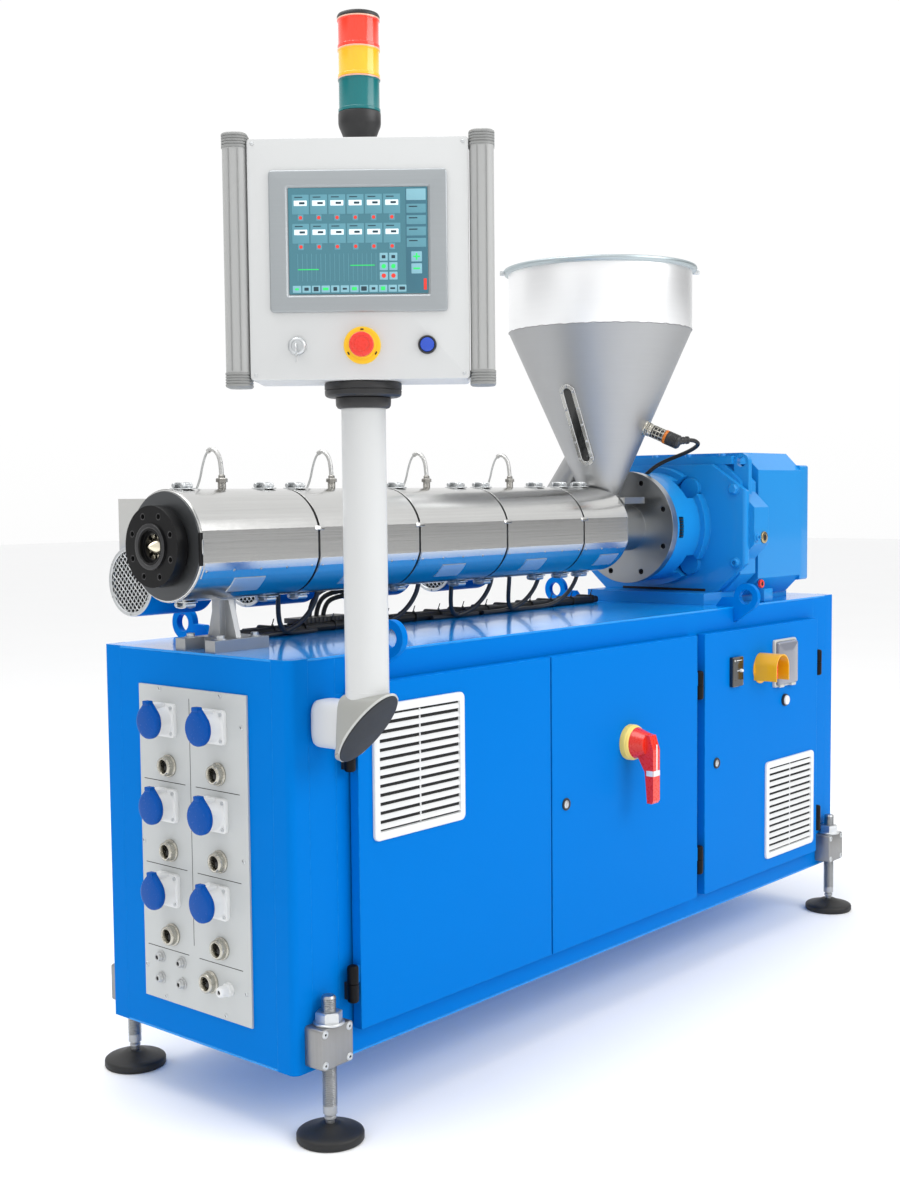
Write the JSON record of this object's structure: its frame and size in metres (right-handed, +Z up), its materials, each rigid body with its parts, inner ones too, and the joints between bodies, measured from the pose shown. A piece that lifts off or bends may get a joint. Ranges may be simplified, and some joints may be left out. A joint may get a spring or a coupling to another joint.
{
  "type": "plastic extruder",
  "caption": "Single-screw plastic extruder: heated barrel with zone covers, blowers, hopper and gearbox on a long cabinet with hinged doors, levelling feet and a swivelling control pendant.",
  "frame": {"origin": "on the floor under the middle of the overall box", "axes": "+X along the machine from the die end to the gearbox end, +Y from the door side to the far side, +Z up"},
  "size_m": [2.126, 0.9153, 1.911],
  "materials": {
    "blue_paint": "gloss sheet-metal and casting paint",
    "stainless": "fine brushed stainless sheet",
    "steel": "machined steel",
    "zinc": "zinc plated",
    "black_steel": "blackened steel",
    "black_plastic": "satin black plastic",
    "black_rubber": "cable sheath and foot rubber",
    "grey_paint": "light grey powder coat",
    "white_plastic": "satin white plastic",
    "blue_plastic": "gloss blue plastic",
    "yellow_plastic": "gloss yellow plastic",
    "red_plastic": "gloss red plastic",
    "amber_plastic": "amber lens plastic",
    "green_plastic": "green lens plastic",
    "screen": "lit display glass",
    "grey_metal": "anodised aluminium"
  },
  "bodies": {
    "machine": {"arm_elbow": "grey_paint", "arm_tube": "grey_paint", "barrel": "steel", "barrel_end_plate": "stainless", "barrel_support": "zinc", "blowers": "blue_paint", "cabinet_back_wall": "blue_paint", "cabinet_front_end": "blue_paint", "cabinet_plates": "blue_paint", "cabinet_rear_end": "blue_paint", "cable_glands": "grey_metal", "cable_loom": "black_rubber", "die_flange": "black_steel", "door_hinges": "black_plastic", "door_posts": "blue_paint", "door_rails": "blue_paint", "feed_housing": "steel", "foot_blocks": "steel", "foot_pads": "black_rubber", "foot_spindles": "zinc", "gearbox_base": "blue_paint", "gearbox_case": "blue_paint", "gearbox_rear": "blue_paint", "hopper": "stainless", "level_sensor": "black_plastic", "lifting_lugs": "blue_paint", "round_connectors": "grey_metal", "sight_window": "stainless", "socket_bodies": "white_plastic", "socket_lids": "blue_plastic", "socket_plate": "grey_paint", "swivel_base": "black_plastic", "thermocouples": "stainless", "zone_boxes": "grey_paint", "zone_covers": "stainless", "zone_seams": "black_plastic"},
    "door_1_leaf": {"door_1": "blue_paint", "vent_grille_1": "white_plastic"},
    "door_2_leaf": {"door_2": "blue_paint", "switch_disc": "yellow_plastic"},
    "door_3_leaf": {"door_3": "blue_paint", "vent_grille_3": "white_plastic", "knob_guard": "yellow_plastic", "guard_knob": "red_plastic", "door_gauges": "black_plastic"},
    "switch_lever": {"switch_handle": "red_plastic"},
    "pendant": {"swivel_head": "black_plastic", "pendant_box": "grey_paint", "pendant_grips": "grey_metal", "screen_bezel": "grey_metal", "screen": "screen", "stop_ring": "yellow_plastic", "pendant_switches": "black_plastic", "tower_black": "black_plastic", "tower_green": "green_plastic", "tower_amber": "amber_plastic", "tower_red": "red_plastic"},
    "stop_head": {"stop_button": "red_plastic"},
    "rotor": {"screw": "steel"}
  },
  "joints": [
    {"name": "door_1_hinge", "type": "hinge", "parent": "machine", "child": "door_1_leaf", "pos_m": [-0.81946, -0.15228, 0.473], "axis": [0, 0, -1], "range_deg": [0, 75]},
    {"name": "door_2_hinge", "type": "hinge", "parent": "machine", "child": "door_2_leaf", "pos_m": [0.34304, -0.15228, 0.473], "axis": [0, 0, 1], "range_deg": [0, 110]},
    {"name": "door_3_hinge", "type": "hinge", "parent": "machine", "child": "door_3_leaf", "pos_m": [0.93554, -0.15228, 0.473], "axis": [0, 0, 1], "range_deg": [0, 110]},
    {"name": "main_switch_turn", "type": "hinge", "parent": "door_2_leaf", "child": "switch_lever", "pos_m": [0.04454, -0.18828, 0.582], "axis": [0, 1, 0], "range_deg": [0, 90]},
    {"name": "pendant_swivel", "type": "hinge", "parent": "machine", "child": "pendant", "pos_m": [-0.87296, -0.24928, 1.294], "axis": [0, 0, 1], "range_deg": [-140, 140]},
    {"name": "stop_press", "type": "slide", "parent": "pendant", "child": "stop_head", "axis": [0.766, 0.6428, 0], "range_m": [0, 0.005], "stiffness_N_per_m": 1200},
    {"name": "screw_spin", "type": "hinge", "parent": "machine", "child": "rotor", "pos_m": [-0.24496, 0.12172, 1.041], "axis": [1, 0, 0], "continuous": true}
  ]
}
